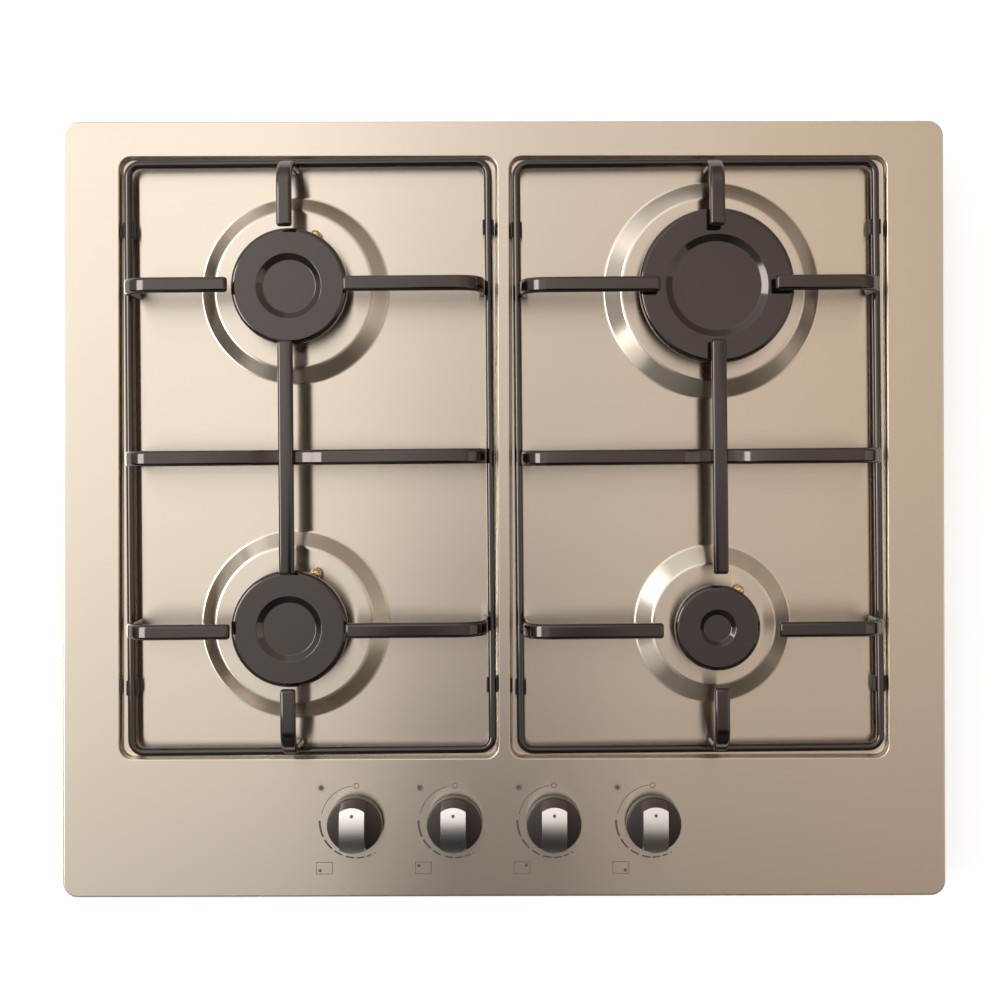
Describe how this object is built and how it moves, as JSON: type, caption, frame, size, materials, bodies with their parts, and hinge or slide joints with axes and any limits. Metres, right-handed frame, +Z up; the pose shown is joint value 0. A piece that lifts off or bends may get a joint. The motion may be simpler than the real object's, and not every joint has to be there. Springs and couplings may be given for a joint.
{
  "type": "gas cooktop",
  "caption": "Built-in gas cooktop: steel plate with recessed wells, burners under black pan supports, and push-and-turn knobs along the front edge.",
  "frame": {"origin": "middle of the tray's underside, which is the middle of the object's base", "axes": "+X to the right as seen from the front, +Y to the rear, +Z up"},
  "size_m": [0.58, 0.51, 0.085],
  "materials": {
    "brushed_steel": "satin",
    "galvanised_steel": "satin",
    "seal_foam": "matte",
    "gas_tube": "satin",
    "brass": "satin",
    "module_plastic": "matte",
    "cast_aluminium": "matte",
    "cap_enamel": "gloss",
    "spark_brass": "polished",
    "tap_alloy": "satin",
    "stem_steel": "satin",
    "knob_plastic": "satin",
    "grip_metal": "satin",
    "support_enamel": "gloss",
    "foot_rubber": "matte"
  },
  "bodies": {
    "root": {"top_plate": "brushed_steel", "bottom_tray": "galvanised_steel", "worktop_seal": "seal_foam", "clamp_rear_left": "galvanised_steel", "clamp_rear_right": "galvanised_steel", "clamp_front_left": "galvanised_steel", "clamp_front_right": "galvanised_steel", "gas_rail": "gas_tube", "inlet_elbow": "brass", "spark_module": "module_plastic", "burner_cup_rear_left": "cast_aluminium", "injector_rear_left": "brass", "spark_plug_rear_left": "spark_brass", "feed_pipe_rear_left": "gas_tube", "tap_body_rear_left": "tap_alloy", "burner_cup_front_left": "cast_aluminium", "injector_front_left": "brass", "spark_plug_front_left": "spark_brass", "feed_pipe_front_left": "gas_tube", "tap_body_front_left": "tap_alloy", "burner_cup_rear_right": "cast_aluminium", "injector_rear_right": "brass", "spark_plug_rear_right": "spark_brass", "feed_pipe_rear_right": "gas_tube", "tap_body_rear_right": "tap_alloy", "burner_cup_front_right": "cast_aluminium", "injector_front_right": "brass", "spark_plug_front_right": "spark_brass", "feed_pipe_front_right": "gas_tube", "tap_body_front_right": "tap_alloy"},
    "pan_support_left": {"pan_support_left": "support_enamel", "rubber_foot_left_1": "foot_rubber", "rubber_foot_left_2": "foot_rubber", "rubber_foot_left_3": "foot_rubber", "rubber_foot_left_4": "foot_rubber"},
    "pan_support_right": {"pan_support_right": "support_enamel", "rubber_foot_right_1": "foot_rubber", "rubber_foot_right_2": "foot_rubber", "rubber_foot_right_3": "foot_rubber", "rubber_foot_right_4": "foot_rubber"},
    "flame_crown_rear_left": {"flame_crown_rear_left": "cast_aluminium"},
    "burner_cap_rear_left": {"burner_cap_rear_left": "cap_enamel"},
    "flame_crown_front_left": {"flame_crown_front_left": "cast_aluminium"},
    "burner_cap_front_left": {"burner_cap_front_left": "cap_enamel"},
    "flame_crown_rear_right": {"flame_crown_rear_right": "cast_aluminium"},
    "burner_cap_rear_right": {"burner_cap_rear_right": "cap_enamel"},
    "flame_crown_front_right": {"flame_crown_front_right": "cast_aluminium"},
    "burner_cap_front_right": {"burner_cap_front_right": "cap_enamel"},
    "tap_stem_rear_left": {"tap_stem_rear_left": "stem_steel"},
    "knob_rear_left": {"knob_rear_left": "knob_plastic", "knob_grip_rear_left": "grip_metal"},
    "tap_stem_front_left": {"tap_stem_front_left": "stem_steel"},
    "knob_front_left": {"knob_front_left": "knob_plastic", "knob_grip_front_left": "grip_metal"},
    "tap_stem_rear_right": {"tap_stem_rear_right": "stem_steel"},
    "knob_rear_right": {"knob_rear_right": "knob_plastic", "knob_grip_rear_right": "grip_metal"},
    "tap_stem_front_right": {"tap_stem_front_right": "stem_steel"},
    "knob_front_right": {"knob_front_right": "knob_plastic", "knob_grip_front_right": "grip_metal"}
  },
  "joints": [
    {"name": "pan_support_left_lift", "type": "slide", "parent": "root", "child": "pan_support_left", "axis": [0, 0, 1], "range_m": [0, 0.06]},
    {"name": "pan_support_right_lift", "type": "slide", "parent": "root", "child": "pan_support_right", "axis": [0, 0, 1], "range_m": [0, 0.06]},
    {"name": "flame_crown_rear_left_lift", "type": "slide", "parent": "root", "child": "flame_crown_rear_left", "axis": [0, 0, 1], "range_m": [0, 0.003]},
    {"name": "burner_cap_rear_left_lift", "type": "slide", "parent": "flame_crown_rear_left", "child": "burner_cap_rear_left", "axis": [0, 0, 1], "range_m": [0, 0.0035]},
    {"name": "flame_crown_front_left_lift", "type": "slide", "parent": "root", "child": "flame_crown_front_left", "axis": [0, 0, 1], "range_m": [0, 0.003]},
    {"name": "burner_cap_front_left_lift", "type": "slide", "parent": "flame_crown_front_left", "child": "burner_cap_front_left", "axis": [0, 0, 1], "range_m": [0, 0.0035]},
    {"name": "flame_crown_rear_right_lift", "type": "slide", "parent": "root", "child": "flame_crown_rear_right", "axis": [0, 0, 1], "range_m": [0, 0.003]},
    {"name": "burner_cap_rear_right_lift", "type": "slide", "parent": "flame_crown_rear_right", "child": "burner_cap_rear_right", "axis": [0, 0, 1], "range_m": [0, 0.0035]},
    {"name": "flame_crown_front_right_lift", "type": "slide", "parent": "root", "child": "flame_crown_front_right", "axis": [0, 0, 1], "range_m": [0, 0.03]},
    {"name": "burner_cap_front_right_lift", "type": "slide", "parent": "flame_crown_front_right", "child": "burner_cap_front_right", "axis": [0, 0, 1], "range_m": [0, 0.03]},
    {"name": "tap_rear_left_turn", "type": "hinge", "parent": "root", "child": "tap_stem_rear_left", "pos_m": [-0.0324, -0.205, 0.054], "axis": [0, 0, 1], "range_deg": [0, 210]},
    {"name": "knob_rear_left_push", "type": "slide", "parent": "tap_stem_rear_left", "child": "knob_rear_left", "axis": [0, 0, -1], "range_m": [0, 0.003], "stiffness_N_per_m": 500, "springref_m": -0.004},
    {"name": "tap_front_left_turn", "type": "hinge", "parent": "root", "child": "tap_stem_front_left", "pos_m": [-0.0972, -0.205, 0.054], "axis": [0, 0, 1], "range_deg": [0, 210]},
    {"name": "knob_front_left_push", "type": "slide", "parent": "tap_stem_front_left", "child": "knob_front_left", "axis": [0, 0, -1], "range_m": [0, 0.003], "stiffness_N_per_m": 500, "springref_m": -0.004},
    {"name": "tap_rear_right_turn", "type": "hinge", "parent": "root", "child": "tap_stem_rear_right", "pos_m": [0.0324, -0.205, 0.054], "axis": [0, 0, 1], "range_deg": [0, 210]},
    {"name": "knob_rear_right_push", "type": "slide", "parent": "tap_stem_rear_right", "child": "knob_rear_right", "axis": [0, 0, -1], "range_m": [0, 0.003], "stiffness_N_per_m": 500, "springref_m": -0.004},
    {"name": "tap_front_right_turn", "type": "hinge", "parent": "root", "child": "tap_stem_front_right", "pos_m": [0.0972, -0.205, 0.054], "axis": [0, 0, 1], "range_deg": [0, 210]},
    {"name": "knob_front_right_push", "type": "slide", "parent": "tap_stem_front_right", "child": "knob_front_right", "axis": [0, 0, -1], "range_m": [0, 0.003], "stiffness_N_per_m": 500, "springref_m": -0.004}
  ]
}
